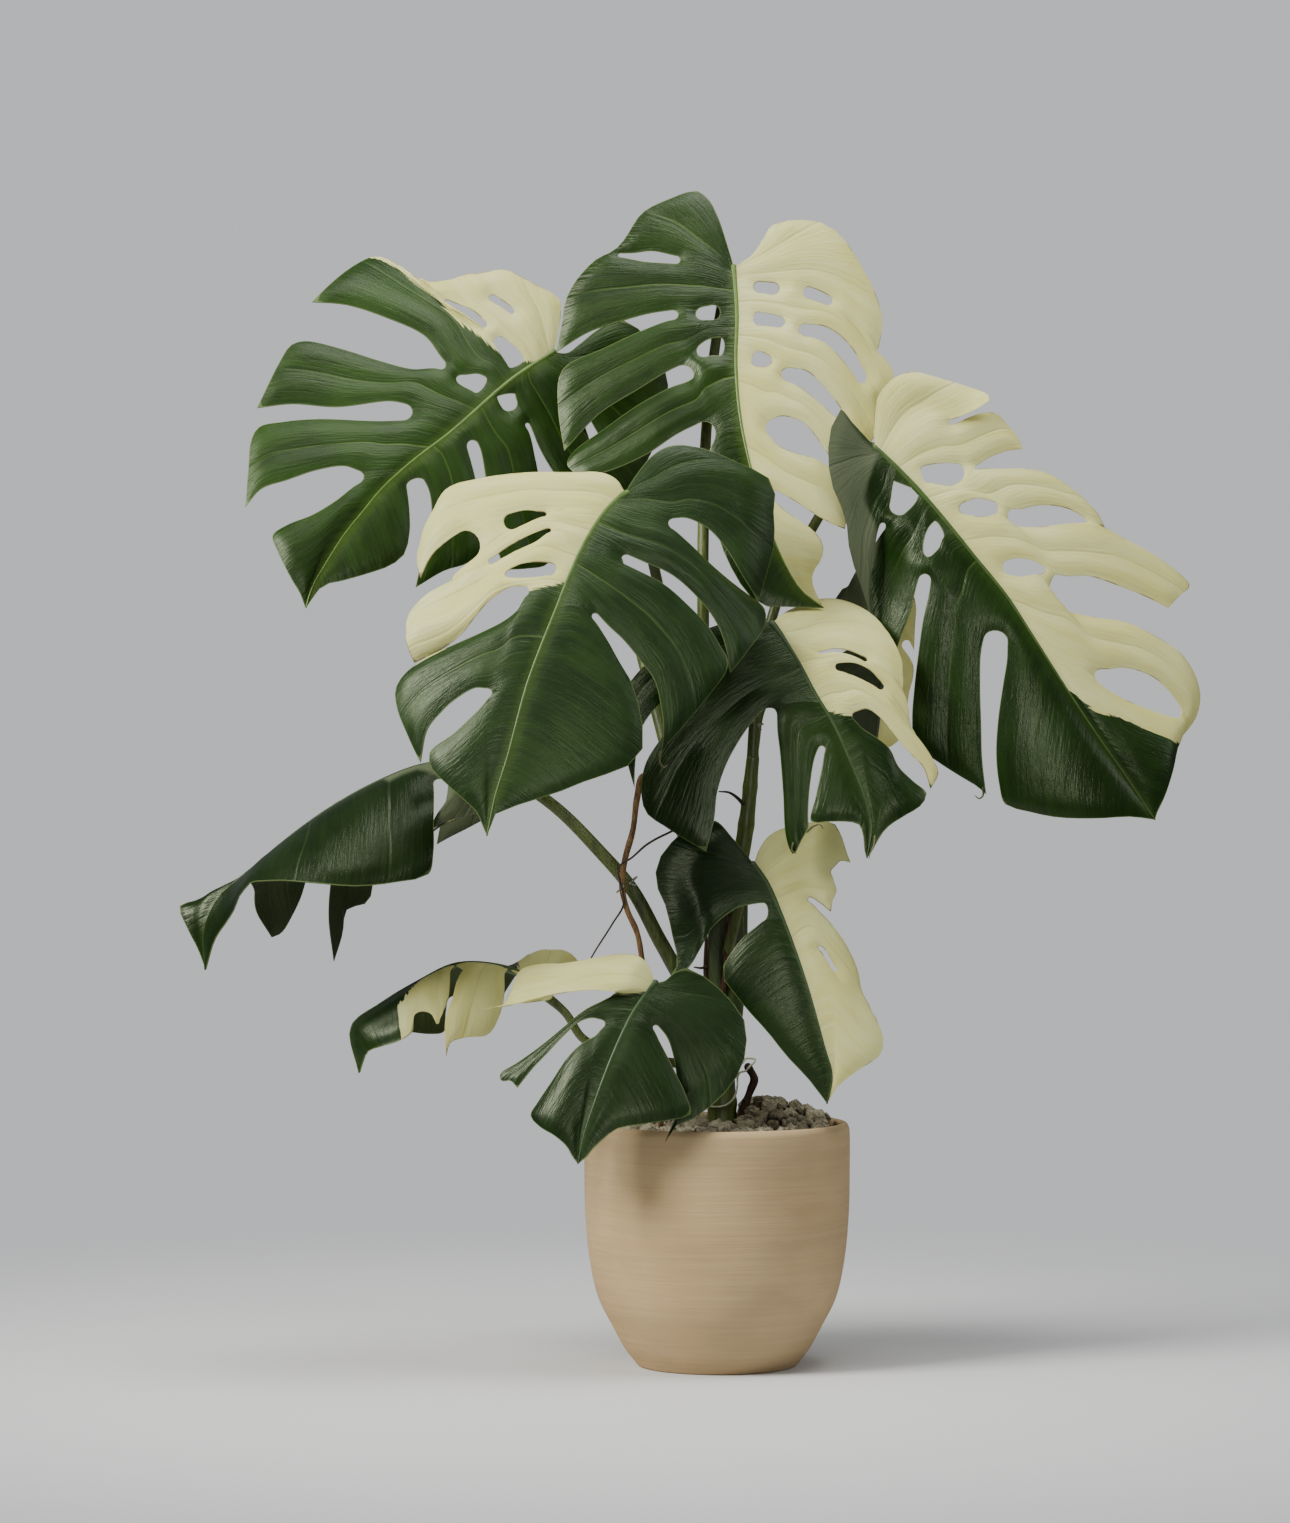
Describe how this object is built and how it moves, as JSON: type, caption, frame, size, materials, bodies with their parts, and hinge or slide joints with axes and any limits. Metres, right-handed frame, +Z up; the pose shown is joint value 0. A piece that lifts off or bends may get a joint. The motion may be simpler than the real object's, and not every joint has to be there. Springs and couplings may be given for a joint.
{
  "type": "potted variegated monstera",
  "caption": "Potted albo variegated monstera: split green and cream leaves on arching petioles, aerial roots and pumice gravel in a tall pale terracotta cup.",
  "frame": {"origin": "centre of the underside of the pot, on the surface it stands on", "axes": "+Z up the pot's axis, -Y towards the front that the leaves face, +X to the right seen from the front"},
  "size_m": [1.0163, 0.4136, 1.1937],
  "materials": {
    "terracotta": "bare pale terracotta, matt, faint turning lines",
    "soil": "dark potting soil",
    "pumice": "rough porous grey-tan pumice",
    "stem": "smooth green-olive bark with pale stripes and brown sheath edges",
    "leaf_upper_left": "glossy mid green, cream upper lobes",
    "leaf_top": "glossy mid green left half, cream right half, green tip",
    "leaf_right": "glossy mid green left half, cream right half, green tip",
    "leaf_centre": "glossy dark green, cream upper left lobes",
    "leaf_mid_right": "glossy dark green, cream upper right half",
    "leaf_side_left": "glossy dark green",
    "leaf_low_left": "glossy dark green with a cream near half",
    "leaf_low_front": "glossy dark green with one cream lobe",
    "leaf_low_right": "glossy dark green left half, cream right half",
    "leaf_back": "dark green with cream slivers",
    "thick_root": "matt brown aerial root",
    "thin_root": "thin dark aerial root",
    "stub": "dark reddish-brown dead root",
    "tie_wire": "thin dark coated wire",
    "tie_string": "pale green string"
  },
  "bodies": {
    "root": {"pot": "terracotta", "soil": "soil", "pumice": "pumice", "main_stem": "stem", "leaf_upper_left": "leaf_upper_left", "leaf_top": "leaf_top", "leaf_right": "leaf_right", "leaf_centre": "leaf_centre", "leaf_mid_right": "leaf_mid_right", "leaf_side_left": "leaf_side_left", "leaf_low_left": "leaf_low_left", "leaf_low_front": "leaf_low_front", "leaf_low_right": "leaf_low_right", "leaf_back": "leaf_back", "aerial_root_thick": "thick_root", "aerial_root_thin": "thin_root", "root_stub": "stub", "tie_upper": "tie_wire", "tie_left": "tie_wire", "tie_base": "tie_string"}
  },
  "joints": []
}
